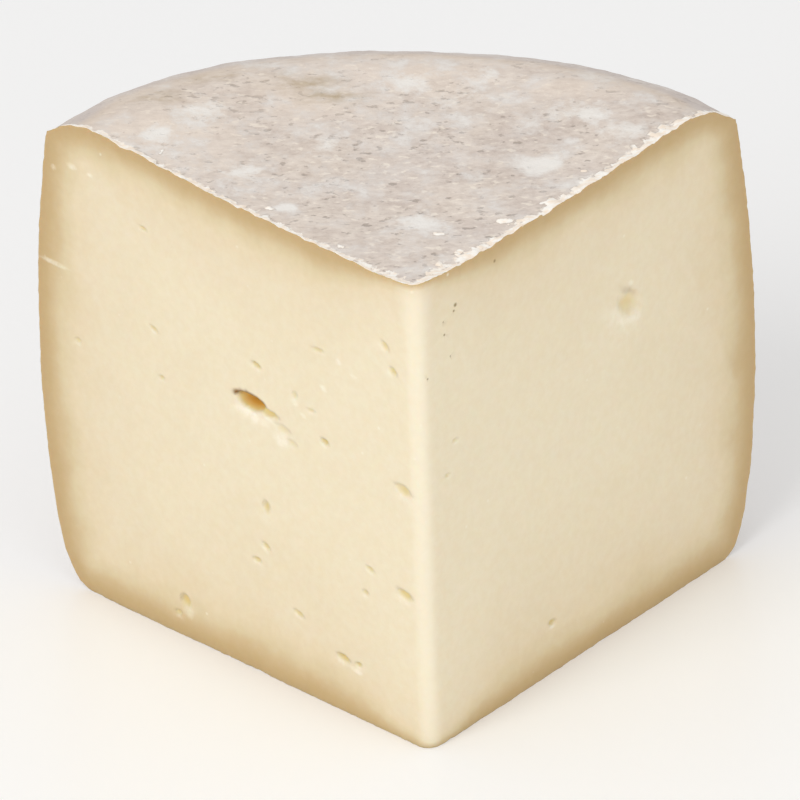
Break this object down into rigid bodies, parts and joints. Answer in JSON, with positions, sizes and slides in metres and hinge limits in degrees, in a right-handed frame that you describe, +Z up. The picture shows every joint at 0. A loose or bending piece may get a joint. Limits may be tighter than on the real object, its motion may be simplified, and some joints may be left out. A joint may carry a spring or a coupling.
{
  "type": "quarter wheel of cheese",
  "caption": "Quarter of a tall pressed cheese wheel with a pale mottled natural rind and smooth ivory cut faces, standing on its flat bottom.",
  "frame": {"origin": "on the resting surface, under the middle of the quarter's bounding box", "axes": "+Z up; the two cut faces meet at the -Y side and the rind curves round the +Y side, so +X runs along the cut-to-cut width"},
  "size_m": [0.1502, 0.1048, 0.1153],
  "materials": {
    "cheese": "satin cut paste with a matte mottled rind"
  },
  "bodies": {
    "root": {"cheese_wedge": "cheese"}
  },
  "joints": []
}
